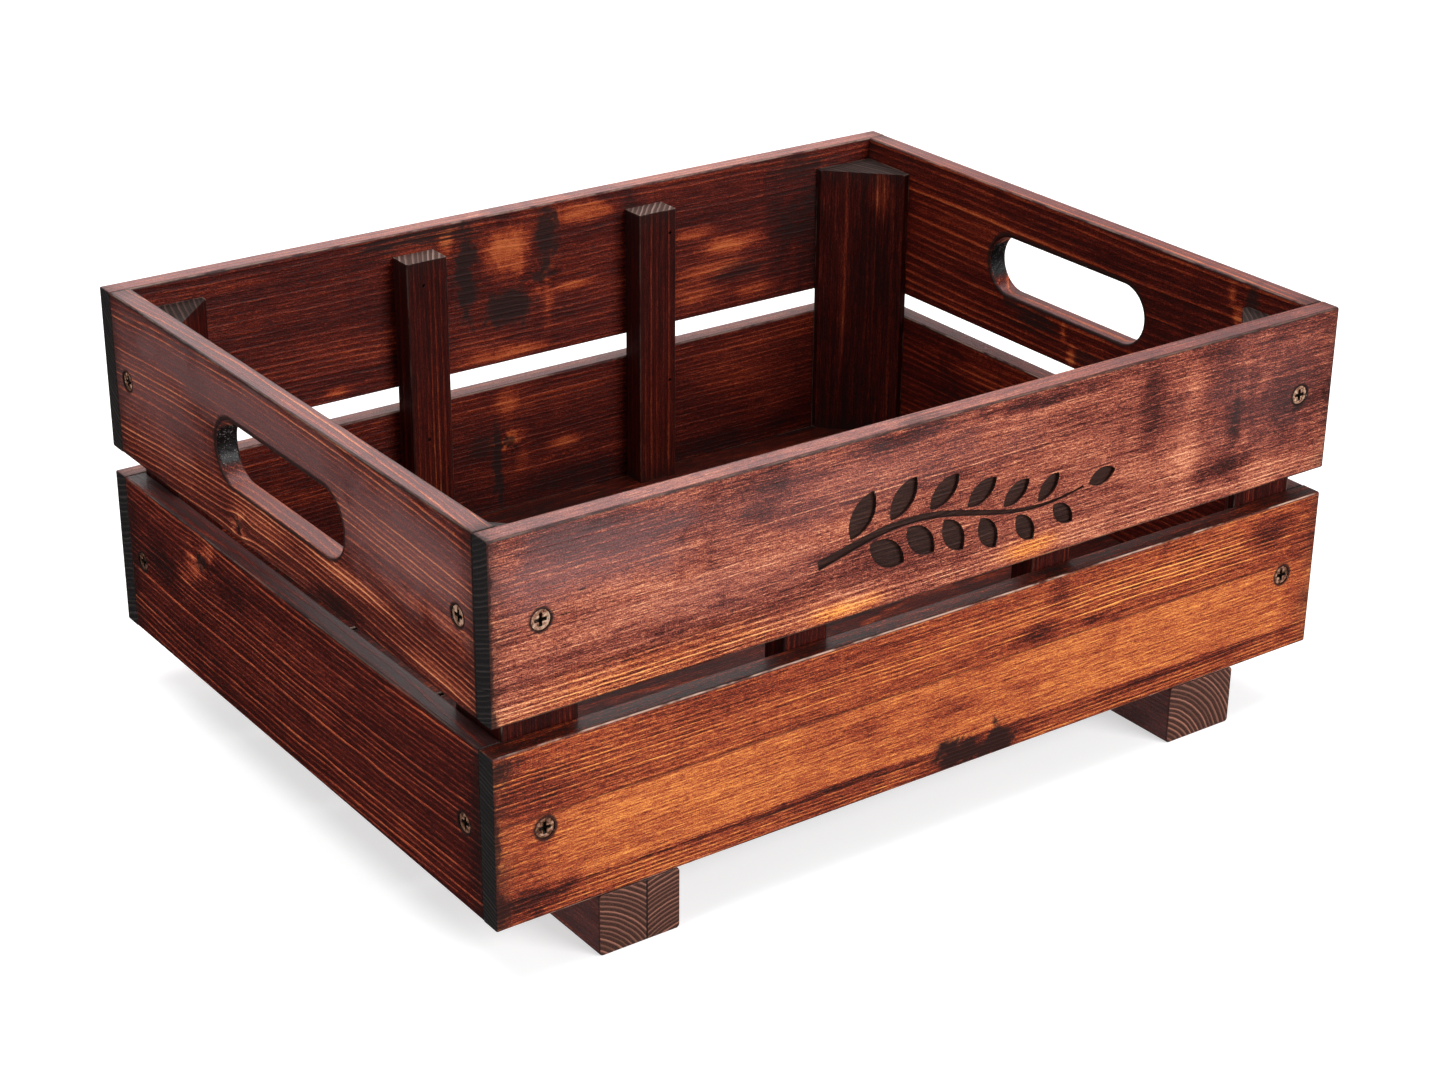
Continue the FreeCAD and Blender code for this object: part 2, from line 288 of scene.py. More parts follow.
def ring_lines(g, u, v, w, wood, s):
    """Pale latewood lines, from 0 to 1, on rings round a pith outside the stick."""
    slow = g.noise(g.vector(u * 0.0045 + s, v * 0.010, w * 0.010), 2.0)
    waves = g.noise(g.vector(u * 0.018 + s, v * 0.035, w * 0.035 + s), 2.0)
    ripple = g.noise(g.vector(u * 0.055, v * 0.16 + s, w * 0.16), 2.0)
    bent = v
    for knot in wood.knots:
        du = (u - knot.u) / (knot.size * 4.5)
        dv = (v - knot.v) / (knot.size * 2.6)
        near = g.math("EXPONENT", -(du * du + dv * dv))
        bent = bent - (v - knot.v) * near * 0.6
    arched = u * 0.01
    bent = bent + arched * arched * wood.arch
    if wood.glued:
        joint, pith = wood.glued
        beyond = g.math("GREATER_THAN", v, joint)
        dv = bent - wood.pith[0] - beyond * (pith[0] - wood.pith[0])
        dw = w - wood.pith[1] - beyond * (pith[1] - wood.pith[1])
    else:
        dv = bent - wood.pith[0]
        dw = w - wood.pith[1]
    radius = g.math("SQRT", dv * dv + dw * dw)
    radius = radius + slow * wood.wander * 2.0 + waves * wood.wander * 0.4 + ripple * 0.7
    pace = g.noise(g.vector(radius * 0.09 + s, 0.0, 0.0), 1.0)
    turns = radius / wood.ring + pace * 2.5
    phase = g.math("FRACT", turns)
    which = g.scatter(g.math("FLOOR", turns))
    return g.step(phase, 0.45, 0.86) * g.step(phase, 1.0, 0.90) * (which * 0.7 + 0.3)


class Grain:
    """The patterns one stick's looks are mixed from, at the point (u, v, w) in mm."""

    def __init__(self, g, wood):
        u, v, w = axis_values(g, wood.axes)
        s = wood.seed * SEED_STRIDE
        self.u, self.v, self.w, self.s = u, v, w, s

        # Stain taken up unevenly along the grain, and the flame's smears across it
        self.cloud = g.noise(g.vector(u * 0.008 + s, v * 0.055 + s, w * 0.02), 3.0, 0.6, 0.3)
        self.patch = g.noise(g.vector(u * 0.045 + s, v * 0.075, w * 0.03 + s), 4.0, 0.65, 0.6)
        self.smoke = g.noise(g.vector(u * 0.024 + s, v * 0.010, w * 0.02 + s), 3.0, 0.55, 0.8)
        self.flame = g.noise(g.vector(u * 0.085 + s, v * 0.020, w * 0.02 + s), 4.0, 0.6, 0.4)
        self.ash = g.noise(g.vector(u * 0.11 + s, v * 0.085, w * 0.09 + s), 4.0, 0.65, 0.8)

        # A board glued up from strips has its own grain on each
        self.joint = g.noise(g.vector(u * 0.02 + s, 0.0, 0.0), 1.0)
        self.strips = [(strip, strip_mask(g, v, self.joint, strip)) for strip in wood.strips]
        for strip, mask in self.strips:
            v = mask * strip.low * 0.37 + v

        # Latewood lines, fibres, pores and the grit of the dried stain
        self.line = ring_lines(g, u, v, w, wood, s)
        self.fibre = g.noise(g.vector(u * 0.030, v * 1.2 + s, w * 1.2), 3.0, 0.65)
        self.hair = g.noise(g.vector(u * 0.13 + s, v * 2.8, w * 2.8), 2.0, 0.6)
        self.fleck = g.noise(g.vector(u * 0.50 + s, v * 2.0, w * 2.0), 2.0, 0.6)
        self.grit = g.noise(g.vector(u * 1.7 + s, v * 2.0, w * 2.0), 2.0, 0.7)
        self.knots = [self.knot_field(g, knot) for knot in wood.knots]

    def knot_field(self, g, knot):
        """The distance from a knot's heart in knot sizes, and the flare of the stain round it."""
        du = (self.u - knot.u) / (knot.size * 1.35)
        dv = (self.v - knot.v) / knot.size
        far = g.math("SQRT", du * du + dv * dv)
        flare = g.noise(g.vector(du / far * 1.6 + self.s, dv / far * 1.6, far * 0.25), 2.0)
        return far + (self.patch - 0.5) * 1.4 + (self.fleck - 0.5) * 0.9, flare


class Faces:
    """Which face of a stick a point is on, for the stick that fills the box from low to high, in metres."""

    def __init__(self, g, wood, grain, low, high):
        order = ["xyz".index(axis) for axis in wood.axes]
        half = [(high[i] - low[i]) * 500.0 for i in order]
        middle = [(high[i] + low[i]) * 500.0 for i in order]
        offset = [g.math("ABSOLUTE", c - m) for c, m in zip((grain.u, grain.v, grain.w), middle)]

        # Depth under the two faces across each axis, and how far the nearest arris is
        self.inset = [h - o for h, o in zip(half, offset)]
        nearest = g.math("MINIMUM", g.math("MINIMUM", self.inset[0], self.inset[1]), self.inset[2])
        self.arris = self.inset[0] + self.inset[1] + self.inset[2] - nearest - g.most(self.inset)

        # The broad face toward the inside of the crate, the narrow faces and the sawn ends
        inner_w = min(abs(low[order[2]]), abs(high[order[2]])) * 1000.0
        self.inner = g.step(g.math("ABSOLUTE", grain.w), inner_w + 1.2, inner_w + 0.4)
        along_face, edge_face, self.broad = facing(g, wood.axes)
        self.edge = g.step(edge_face, 0.75, 0.92)
        self.sawn = g.step(along_face, 0.72, 0.9)

        # How strongly stains and chars show, from the face that the torch was held to
        strengths = {"inside": self.inner * 0.75 + 0.25, "outside": 1.0 - self.inner * 0.75, "both": 1.0}
        self.held = strengths[wood.marked]


def stain_tone(g, wood, grain, faces):
    """How pale the stained wood is, from 0 for charred to 1 for its palest line."""
    u, v, patch = grain.u, grain.v, grain.patch
    tone = faces.inner * (wood.inner_tone - wood.tone) + wood.tone
    tone = tone + (grain.cloud - 0.5) * wood.cloud * 1.5 + (patch - 0.5) * wood.cloud * 0.6
    smeared = g.step(grain.smoke + (patch - 0.5) * 0.35, 0.56, 0.74)
    # The narrow faces are painted paler or darker for how they face the light, with painted shade in the
    # gap between the tiers
    tone = tone - smeared * wood.smoke * 0.4 + faces.edge * wood.edge_tone

    wisps = grain.flame * 0.5 + grain.ash * 0.5
    stained = 0.0
    for spot in wood.stains:
        if spot.across > spot.along * 0.7:
            stained = stained + spot_mask(g, u, v, wisps, spot, 0.10, 2.6)
        else:
            stained = stained + spot_mask(g, u, v, patch, spot)
    tone = tone + stained * faces.held
    for far, flare in grain.knots:
        tone = tone + g.step(far, 4.2, 1.2) * (flare * 2.6 + grain.fleck * 0.6 - 1.45) * 0.6

    lined = wood.line
    for spot in wood.lined:
        lined = spot_mask(g, u, v, patch, spot) + lined
    for strip, mask in grain.strips:
        tone = mask * strip.tone + tone
        lined = mask * strip.lines + lined
    body = g.step(tone, 0.05, 0.75)
    tone = tone + (grain.line - 0.3) * lined * (body * 0.9 + 0.35)
    tone = tone + ((grain.fibre - 0.5) * 0.75 + (grain.hair - 0.5) * 0.95) * wood.streak
    return tone + ((grain.fleck - 0.5) * 0.9 + (grain.grit - 0.5) * 1.2) * wood.fleck


def palette_ramp(g, tone, palette):
    """The colour of each tone of stain in this palette."""
    return g.ramp(tone, list(zip(TONE_STEPS, (CHAR, *palette))))


def stain_colour(g, wood, grain, faces, tone):
    """The colour of the stain, with golden patches and a painted greyish sheen where the lamps reflect in
    the polish.
    """
    def widest(spots):
        return g.most([0.0] + [spot_mask(g, grain.u, grain.v, grain.patch, spot) for spot in spots])

    shade = palette_ramp(g, tone, wood.palette)
    if wood.golds:
        shade = g.mix(widest(wood.golds), shade, palette_ramp(g, tone, AMBER))
    shade = g.mix(faces.inner, shade, palette_ramp(g, tone, wood.inner_palette))

    # Painted sheen: the lamps' reflection, painted as a greyish colour on the outer faces and the narrow
    # faces
    bloom = g.most([widest(wood.blooms) * (1.0 - faces.inner), faces.edge * wood.edge_bloom])
    bloom = bloom * (grain.grit * 1.4 + 0.1)
    return g.mix(bloom * (1.0 - grain.line * 0.6), shade, BLOOM)


def scorch_mask(g, wood, grain, faces):
    """Where the wood is charred or dark with dried stain, from 0 to 1, with painted shade on the rounded
    arrises and round the hand hole and a painted shadow round each screw head.
    """
    u, v, patch, fibre = grain.u, grain.v, grain.patch, grain.fibre
    end = faces.inset[0] + (patch - 0.5) * 16.0 + (fibre - 0.5) * 14.0
    burns = [
        g.step(end, 10.0, -3.0) * wood.burnt_ends,
        # Dark arrises: charring, and painted shade on the rounded edges
        g.step(faces.arris + (patch - 0.5) * 0.7, 1.3, 0.5) * wood.arris,
    ]

    streaky = patch * 0.9 + fibre * 1.9 - 0.9
    torn = grain.ash * 1.1 + grain.flame * 0.4 - 0.25
    for spot in wood.chars:
        ragged = torn if spot.across > spot.along * 0.5 else streaky
        burns.append(spot_mask(g, u, v, ragged, spot, 0.50, 2.8) * faces.held)
    for strip, mask in grain.strips:
        seam = g.math("ABSOLUTE", v - strip.low + (grain.joint - 0.5) * JOINT_WANDER)
        burns.append(g.step(seam, 0.5, 0.15) * 0.45)
    # Painted shadow of the countersink round each screw head
    for screw_u, screw_v in wood.screws:
        du, dv = u - screw_u, v - screw_v
        far = g.math("SQRT", du * du + dv * dv) + (patch - 0.5) * 2.0
        burns.append(g.step(far, SCREW_RING + 1.2, SCREW_RING) * 0.95)

    # Painted shade on the rounded rim of the hand hole
    if wood.slot:
        centre, straight, radius = wood.slot
        du = g.most([g.math("ABSOLUTE", u) - straight, 0.0])
        dv = v - centre
        rim = g.math("SQRT", du * du + dv * dv) - radius + (patch - 0.5) * 1.2
        burns.append(g.step(rim, 2.6, 1.3) * g.step(faces.broad, 0.3, 0.9) * 0.9)
    for far, _ in grain.knots:
        burns.append(g.step(far, 1.25, 0.75) * (grain.grit * 0.5 + 0.55))
    for check in wood.checks:
        du = g.math("ABSOLUTE", u - check.u) / (check.length * 0.5)
        dv = g.math("ABSOLUTE", v - check.v + (patch - 0.5) * 2.0) / CHECK_HALF_WIDTH
        burns.append(g.step(dv + du * du, 1.0, 0.5))
    return g.most(burns)


def wood_material(name, wood, low, high):
    """Pine for the stick that fills the box from low to high, in metres."""
    g = Graph(name)
    grain = Grain(g, wood)
    faces = Faces(g, wood, grain, low, high)
    u, v, w, s = grain.u, grain.v, grain.w, grain.s
    line, fibre, hair, fleck, grit = grain.line, grain.fibre, grain.hair, grain.fleck, grain.grit

    shade = stain_colour(g, wood, grain, faces, stain_tone(g, wood, grain, faces))
    # Chars, with painted shade on the arrises and the hand hole's rim and painted shadows round the screws
    scorch = scorch_mask(g, wood, grain, faces)
    charred = g.mix(line * 0.25 + fibre * 0.2 + grit * 0.15, CHAR, wood.palette[0])
    shade = g.mix(scorch, shade, charred)

    # Sawn ends drink the stain, with the rings still showing
    ends = g.mix(line * 0.75 + hair * 0.35 - 0.1, wood.end_colours[0], wood.end_colours[1])
    if wood.glued:
        seam = g.math("ABSOLUTE", v - wood.glued[0])
        ends = g.mix(g.step(seam, 0.5, 0.2), ends, CHAR)
    shade = g.mix(faces.sawn, shade, ends)

    # Painted shade: the ends of a hand hole are painted black, with painted glints on them
    hole = faces.sawn * g.step(faces.inset[0], 4.0, 8.0)
    glint = g.step(grit * 0.4 + fleck * 0.3 + grain.patch * 0.3, 0.56, 0.60)
    shade = g.mix(hole, shade, g.mix(glint, PITCH, GLINT))

    # Long arrises rubbed pale in a thin broken line, which also paints a highlight on the rounded edges
    rub = g.noise(g.vector(u * 0.05 + s, v * 0.12, w * 0.12 + s), 3.0, 0.7)
    worn = g.step(faces.arris, 0.75, 0.30) * g.step(rub, 0.40, 0.58)
    worn = worn * g.step(faces.inset[0], wood.rub_from, wood.rub_from + 2.5)
    shade = g.mix(worn * wood.rubbed, shade, RUBBED)

    if wood.engraved:
        face = low["xyz".index(wood.axes[2])] * 1000.0
        groove = g.step(w, face + 0.25, face + 0.55) * g.step(w, face + 2.1, face + 1.8)
        groove = groove * g.step(g.math("ABSOLUTE", u), BRANCH_REACH, BRANCH_REACH - 2.0)
        groove = groove * g.step(faces.inset[1], 1.4, 2.0)
        shade = g.mix(groove * 0.96, shade, g.mix(hair * 0.9 + line * 0.3 - 0.2, CHAR, BRANCH_FLOOR))

    relief = line * 0.5 + fibre * 0.5 + hair * 0.3 + fleck * 0.35 + grit * 0.2
    rough = 0.34 + fibre * 0.16 + scorch * 0.10 + faces.sawn * 0.2 + grit * 0.12 - hole * 0.25
    normal = g.bump(relief, WOOD_RELIEF)
    return g.finish(shade, rough, normal, specular=0.18, coat_weight=0.08, coat_roughness=0.2)


# ---------------------------------------------------------------- metal

# Painted shade in the cross, rim and countersink of a screw head
DARK_RECESS = (0.014, 0.010, 0.007)


def bronze_material(name, axis):
    """Antique bronze for screws along one axis: bright on the head, with painted shade in the cross and
    round the rim.
    """
    g = Graph(name)
    x, y, z = axis_values(g, "xyz")
    cloud = g.noise(g.vector(x * 0.6, y * 0.6, z * 0.6), 3.0, 0.65)
    grit = g.noise(g.vector(x * 3.0, y * 3.0, z * 3.0), 3.0, 0.7)
    stops = [(0.36, (0.10, 0.045, 0.026)), (0.46, (0.50, 0.23, 0.14)), (0.56, (1.0, 0.66, 0.47))]
    # The screws on the lower tier and at the back of the crate are darker
    tarnish = g.step(z, 110.0, 90.0) * 0.08 + g.step(y, 60.0, 90.0) * 0.06
    shade = g.ramp(cloud * 0.75 + grit * 0.25 - tarnish, stops)
    # Painted shade on every face that does not face out along the screw
    shade = g.mix(g.step(facing(g, axis)[0], 0.90, 0.985), DARK_RECESS, shade)
    return g.finish(shade, 0.22 + grit * 0.25, g.bump(grit, 0.00012), metallic=0.6)


def black_steel_material(name):
    """Blackened steel for the brads, faintly gritty."""
    g = Graph(name)
    x, y, z = axis_values(g, "xyz")
    grit = g.noise(g.vector(x * 2.0, y * 2.0, z * 2.0), 3.0, 0.7)
    shade = g.ramp(grit, [(0.3, (0.008, 0.007, 0.006)), (0.7, (0.04, 0.035, 0.03))])
    return g.finish(shade, 0.45 + grit * 0.2, g.bump(grit, 0.00005), metallic=0.8)


# ---------------------------------------------------------------- every piece's looks

# The hand hole in each upper end board, in mm: its centre's height, half its straight part, and its radius
HAND_HOLE = (141.0, 37.0, 13.5)

# Each stick: its seed, its grain axes, its pith across the grain in mm, and its looks. A mark on a board
# stands at its distance from the middle of the crate and its height above the ground.
WOODS = {
    "upper_front_board": Wood(
        1, "xzy", (230.0, -110.0), marked="outside", palette=CLARET, ring=1.85, wander=3.0, line=0.12,
        tone=0.49, cloud=0.52, streak=1.0, fleck=1.05, arris=0.85, smoke=0.6, edge_tone=-0.02,
        edge_bloom=0.34, engraved=True, burnt_ends=0.6, rubbed=0.12,
        strips=(Strip(90.0, 119.0, 0.09, 0.26),),
        lined=(Spot(-120.0, 112.0, 90.0, 12.0, 0.26), Spot(-20.0, 153.0, 100.0, 5.0, 0.30),
               Spot(-160.0, 158.0, 60.0, 12.0, 0.15)),
        checks=(Check(-170.0, 141.5, 9.0), Check(-145.0, 116.5, 7.0), Check(-163.0, 148.5, 4.0)),
        golds=(Spot(-130.0, 110.0, 90.0, 13.0, 0.7), Spot(-50.0, 109.5, 26.0, 6.0, 1.0),
               Spot(38.0, 111.0, 22.0, 7.0, 1.0)),
        stains=(
            Spot(-50.0, 109.5, 24.0, 5.0, 0.20), Spot(38.0, 111.0, 18.0, 6.0, 0.14),
            Spot(-130.0, 112.0, 70.0, 10.0, 0.06), Spot(-165.0, 168.0, 42.0, 10.0, -0.28),
            Spot(-27.0, 171.0, 26.0, 5.0, -0.34), Spot(45.0, 171.0, 50.0, 4.5, -0.26),
            Spot(60.0, 160.0, 22.0, 9.0, -0.08), Spot(100.0, 152.0, 10.0, 28.0, -0.20),
            Spot(140.0, 163.0, 18.0, 18.0, -0.24), Spot(148.0, 142.0, 16.0, 12.0, -0.14),
            Spot(140.0, 120.0, 18.0, 18.0, -0.28), Spot(180.0, 150.0, 34.0, 44.0, -0.22),
            Spot(-90.0, 158.0, 10.0, 5.0, -0.18), Spot(-110.0, 134.0, 56.0, 14.0, 0.07),
            Spot(168.0, 115.0, 26.0, 9.0, 0.10), Spot(120.0, 136.0, 9.0, 34.0, 0.14),
            Spot(20.0, 150.0, 60.0, 16.0, 0.06), Spot(-40.0, 160.0, 50.0, 6.0, 0.08),
            Spot(160.0, 146.0, 8.0, 18.0, 0.14),
        ),
        # Patches of painted sheen, where the lamps reflect in the polish
        blooms=(Spot(-160.0, 160.0, 70.0, 20.0, 0.36), Spot(-60.0, 160.0, 110.0, 18.0, 0.16),
                Spot(160.0, 150.0, 50.0, 34.0, 0.10), Spot(-110.0, 134.0, 60.0, 12.0, 0.10)),
        chars=(Spot(-200.0, 140.0, 2.0, 60.0, 0.9), Spot(-20.0, 174.5, 18.0, 1.5, 0.5)),
    ),
    # Its top face, in the gap under the upper board, is painted darker as shade
    "lower_front_board": Wood(
        2, "xzy", (-90.0, -110.0), marked="outside", palette=AMBER, ring=1.75, wander=3.0, line=0.12,
        tone=0.56, cloud=0.26, smoke=0.2, edge_tone=-0.32, burnt_ends=0.7, streak=0.95, fleck=0.80,
        rubbed=0.75, strips=(Strip(66.5, 99.0, -0.075, 0.22), Strip(0.0, 36.5, -0.12, 0.22)),
        lined=(Spot(110.0, 80.0, 70.0, 14.0, 0.34), Spot(-165.0, 76.0, 60.0, 12.0, 0.2)),
        checks=(Check(-137.0, 35.6, 10.0), Check(-82.0, 34.0, 16.0), Check(-30.0, 34.5, 10.0)),
        stains=(
            Spot(57.0, 87.0, 9.0, 9.0, -0.20), Spot(46.0, 72.0, 14.0, 6.0, -0.24),
            Spot(76.0, 70.0, 7.0, 3.0, -0.24), Spot(172.0, 84.0, 16.0, 8.0, -0.24),
            Spot(-35.0, 57.0, 16.0, 6.0, -0.10), Spot(8.0, 52.0, 22.0, 5.0, -0.10),
            Spot(42.0, 51.0, 12.0, 4.0, -0.12), Spot(115.0, 80.0, 60.0, 14.0, 0.12),
            Spot(-120.0, 58.0, 60.0, 8.0, 0.05), Spot(-110.0, 86.0, 120.0, 10.0, -0.06),
            Spot(-60.0, 35.0, 110.0, 2.4, -0.26), Spot(130.0, 34.0, 70.0, 2.6, -0.26),
            Spot(17.0, 31.0, 40.0, 8.0, -0.20), Spot(192.0, 60.0, 12.0, 44.0, -0.12),
            Spot(-190.0, 60.0, 26.0, 40.0, -0.10), Spot(-190.0, 34.0, 30.0, 8.0, -0.20),
        ),
        chars=(Spot(8.0, 31.0, 15.0, 8.0, 1.0), Spot(26.0, 30.0, 14.0, 8.0, 1.0),
               Spot(-199.0, 34.0, 7.0, 10.0, 0.9), Spot(-198.0, 88.0, 8.0, 8.0, 0.9),
               Spot(-200.0, 60.0, 3.0, 40.0, 0.9), Spot(-85.0, 34.0, 12.0, 1.5, 0.6)),
    ),
    "upper_left_end_board": Wood(
        5, "yzx", (330.0, -60.0), marked="outside", palette=PLUM, ring=2.0, wander=3.0, arch=3.0, line=0.56,
        tone=0.46, cloud=0.34, rubbed=0.1, arris=0.9, smoke=0.25, edge_tone=0.04, edge_bloom=0.30,
        streak=0.5, fleck=0.75, slot=HAND_HOLE, knots=(Knot(35.0, 112.5, 2.2),),
        stains=(
            Spot(20.0, 119.0, 34.0, 6.0, 0.20), Spot(-55.0, 124.0, 40.0, 5.0, 0.28),
            Spot(-110.0, 134.0, 50.0, 4.0, 0.27), Spot(-120.0, 112.0, 44.0, 6.0, 0.24),
            Spot(-40.0, 109.0, 24.0, 5.0, -0.24), Spot(110.0, 118.0, 60.0, 12.0, 0.08),
            Spot(60.0, 166.0, 110.0, 12.0, -0.06), Spot(-105.0, 158.0, 60.0, 16.0, 0.06),
        ),
        # Patches of painted sheen, where the lamps reflect in the polish
        blooms=(Spot(30.0, 162.0, 180.0, 18.0, 0.34), Spot(110.0, 145.0, 60.0, 30.0, 0.26),
                Spot(-100.0, 152.0, 80.0, 26.0, 0.34)),
    ),
    "lower_left_end_board": Wood(
        6, "yzx", (-140.0, -50.0), marked="outside", palette=OXBLOOD, ring=2.2, wander=3.2, arch=-2.0,
        line=0.60, tone=0.42, cloud=0.38, rubbed=0.1, smoke=0.25, edge_tone=-0.14, edge_bloom=0.14,
        streak=0.75, fleck=0.8, knots=(Knot(73.0, 82.0, 3.4),),
        stains=(
            Spot(88.0, 70.0, 9.0, 5.0, 0.32), Spot(64.0, 90.0, 6.0, 4.0, 0.30),
            Spot(80.0, 77.0, 10.0, 7.0, 0.20), Spot(112.0, 66.0, 22.0, 12.0, -0.20),
            Spot(50.0, 76.0, 18.0, 7.0, -0.18), Spot(142.0, 55.0, 12.0, 44.0, -0.16),
            Spot(-138.0, 60.0, 10.0, 40.0, -0.12), Spot(-40.0, 58.0, 80.0, 16.0, 0.08),
        ),
    ),
    "upper_back_board": Wood(
        3, "xzy", (260.0, 60.0), marked="inside", palette=CLARET, ring=2.2, wander=5.0, line=0.20,
        tone=0.50, inner_tone=0.41, cloud=0.40, inner_palette=OXBLOOD, smoke=0.7, edge_tone=-0.02,
        edge_bloom=0.36, streak=0.7, fleck=0.75, knots=(Knot(4.0, 142.0, 2.6),),
        stains=(
            Spot(-12.0, 158.0, 14.0, 17.0, 0.54), Spot(-43.0, 168.0, 5.0, 9.0, 0.50),
            Spot(30.0, 168.0, 24.0, 6.0, 0.40), Spot(20.0, 135.0, 16.0, 3.0, 0.36),
            Spot(88.0, 147.0, 16.0, 4.0, 0.34), Spot(110.0, 138.0, 24.0, 6.0, 0.54),
            Spot(100.0, 128.0, 26.0, 4.0, 0.34), Spot(88.0, 117.0, 20.0, 8.0, 0.26),
            Spot(122.0, 113.0, 16.0, 5.0, 0.24), Spot(-10.0, 110.0, 26.0, 4.0, 0.38),
            Spot(-100.0, 110.0, 9.0, 3.0, 0.36), Spot(8.0, 130.0, 4.0, 18.0, 0.26),
            Spot(-28.0, 116.0, 18.0, 9.0, 0.14), Spot(160.0, 140.0, 38.0, 40.0, -0.20),
            Spot(45.0, 145.0, 20.0, 14.0, -0.08), Spot(-150.0, 168.0, 50.0, 4.0, 0.14),
        ),
        chars=(Spot(-34.0, 152.0, 6.0, 28.0, 0.96), Spot(8.0, 160.0, 6.0, 18.0, 0.92),
               Spot(-13.0, 131.0, 13.0, 9.0, 0.95), Spot(-58.0, 171.0, 22.0, 5.0, 0.92),
               Spot(150.0, 169.0, 18.0, 7.0, 0.65), Spot(118.0, 124.0, 14.0, 5.0, 0.6)),
    ),
    "lower_back_board": Wood(
        4, "xzy", (-160.0, 60.0), marked="inside", palette=CLARET, ring=2.3, wander=5.0, line=0.22,
        tone=0.50, inner_tone=0.40, cloud=0.40, inner_palette=OXBLOOD, smoke=0.4, edge_tone=-0.02,
        edge_bloom=0.34, streak=0.7, fleck=0.75, knots=(Knot(-14.0, 67.0, 2.4),),
        stains=(
            Spot(-14.0, 86.0, 8.0, 12.0, 0.26), Spot(15.0, 60.0, 12.0, 4.0, 0.40),
            Spot(-6.0, 58.0, 6.0, 9.0, 0.20), Spot(112.0, 74.0, 34.0, 18.0, 0.16),
            Spot(-14.0, 67.0, 6.0, 6.0, 0.30), Spot(60.0, 40.0, 140.0, 8.0, -0.14),
        ),
        chars=(Spot(-20.0, 55.0, 2.6, 22.0, 0.95), Spot(-28.0, 68.0, 7.0, 5.0, 0.6)),
    ),
    "upper_right_end_board": Wood(
        7, "yzx", (300.0, 60.0), marked="inside", palette=PLUM, ring=3.2, wander=3.0, line=0.44, tone=0.50,
        inner_tone=0.42, cloud=0.32, inner_palette=OXBLOOD, rubbed=0.2, smoke=0.4, edge_tone=0.02,
        edge_bloom=0.34, streak=0.6, fleck=0.75, slot=HAND_HOLE,
        stains=(
            Spot(70.0, 148.0, 60.0, 20.0, 0.12), Spot(-105.0, 160.0, 4.0, 8.0, 0.44),
            Spot(-101.0, 168.0, 4.0, 8.0, 0.44), Spot(-7.0, 111.0, 4.0, 8.0, 0.44),
            Spot(-1.0, 120.0, 4.0, 8.0, 0.44), Spot(-60.0, 140.0, 40.0, 24.0, -0.08),
            Spot(60.0, 170.0, 50.0, 5.0, 0.12), Spot(-30.0, 170.0, 60.0, 4.0, 0.16),
        ),
        chars=(Spot(22.0, 122.0, 12.0, 6.0, 0.85), Spot(36.0, 126.0, 6.0, 4.0, 0.8),
               Spot(-20.0, 112.0, 9.0, 7.0, 0.6), Spot(-113.0, 166.0, 4.0, 10.0, 0.8)),
    ),
    "lower_right_end_board": Wood(
        8, "yzx", (-120.0, 60.0), marked="inside", palette=PLUM, ring=2.6, wander=4.0, line=0.36, tone=0.44,
        inner_tone=0.38, cloud=0.35, inner_palette=OXBLOOD, smoke=0.4, edge_tone=-0.02, edge_bloom=0.30,
        streak=0.6, fleck=0.75,
        stains=(Spot(40.0, 86.0, 60.0, 10.0, 0.14),),
    ),
    # The runners' outer faces carry a painted sheen along their whole length
    "runner_left": Wood(
        9, "yxz", (-172.0, -22.0), palette=PLUM, ring=1.9, wander=2.0, line=0.35, tone=0.46, cloud=0.3,
        inner_tone=0.50, inner_palette=PLUM, end_colours=BROWN_END, glued=(-137.0, (-118.0, -30.0)),
        burnt_ends=0.3, blooms=(Spot(0.0, -137.0, 400.0, 200.0, 0.30),),
    ),
    "runner_right": Wood(
        10, "yxz", (112.0, -14.0), palette=PLUM, ring=2.1, wander=2.0, line=0.35, tone=0.46, cloud=0.3,
        inner_tone=0.50, inner_palette=PLUM, end_colours=BROWN_END, burnt_ends=0.3,
        blooms=(Spot(0.0, 137.0, 400.0, 200.0, 0.30),),
    ),
}
for number, place in enumerate(("front", "mid_front", "mid_back", "back")):
    WOODS[f"floor_board_{place}"] = Wood(
        11 + number, "xyz", (-160.0 + 80.0 * number, -150.0), ring=2.8, wander=6.0, line=0.3, tone=0.36,
        inner_tone=0.36)
for number, place in enumerate(("front_left", "front_right", "back_left", "back_right")):
    WOODS[f"corner_post_{place}"] = Wood(
        15 + number, "zxy", (90.0 * (-1) ** number, 60.0), ring=2.4, wander=2.0, line=0.2, tone=0.40,
        inner_tone=0.40, palette=RED, inner_palette=RED, cloud=0.5, smoke=0.2, streak=0.7, fleck=0.5,
        end_colours=POST_END, rub_from=-3.0, rubbed=0.15,
        stains=(Spot(156.0, 180.0, 18.0, 5.0, 0.34), Spot(152.0, -180.0, 20.0, 5.0, 0.25),
                Spot(120.0, 168.0, 60.0, 4.0, 0.14)))
    WOODS[f"batten_{place}"] = Wood(
        19 + number, "zxy", (260.0, -40.0), ring=2.3, wander=0.5, line=0.30, tone=0.43, inner_tone=0.43,
        cloud=0.16, palette=RED, inner_palette=RED, smoke=0.2, streak=0.6, fleck=0.5, end_colours=BAR_END,
        rub_from=-3.0, rubbed=0.05,
        stains=(Spot(60.0, -60.0, 60.0, 40.0, 0.10), Spot(60.0, 60.0, 60.0, 40.0, 0.10)))


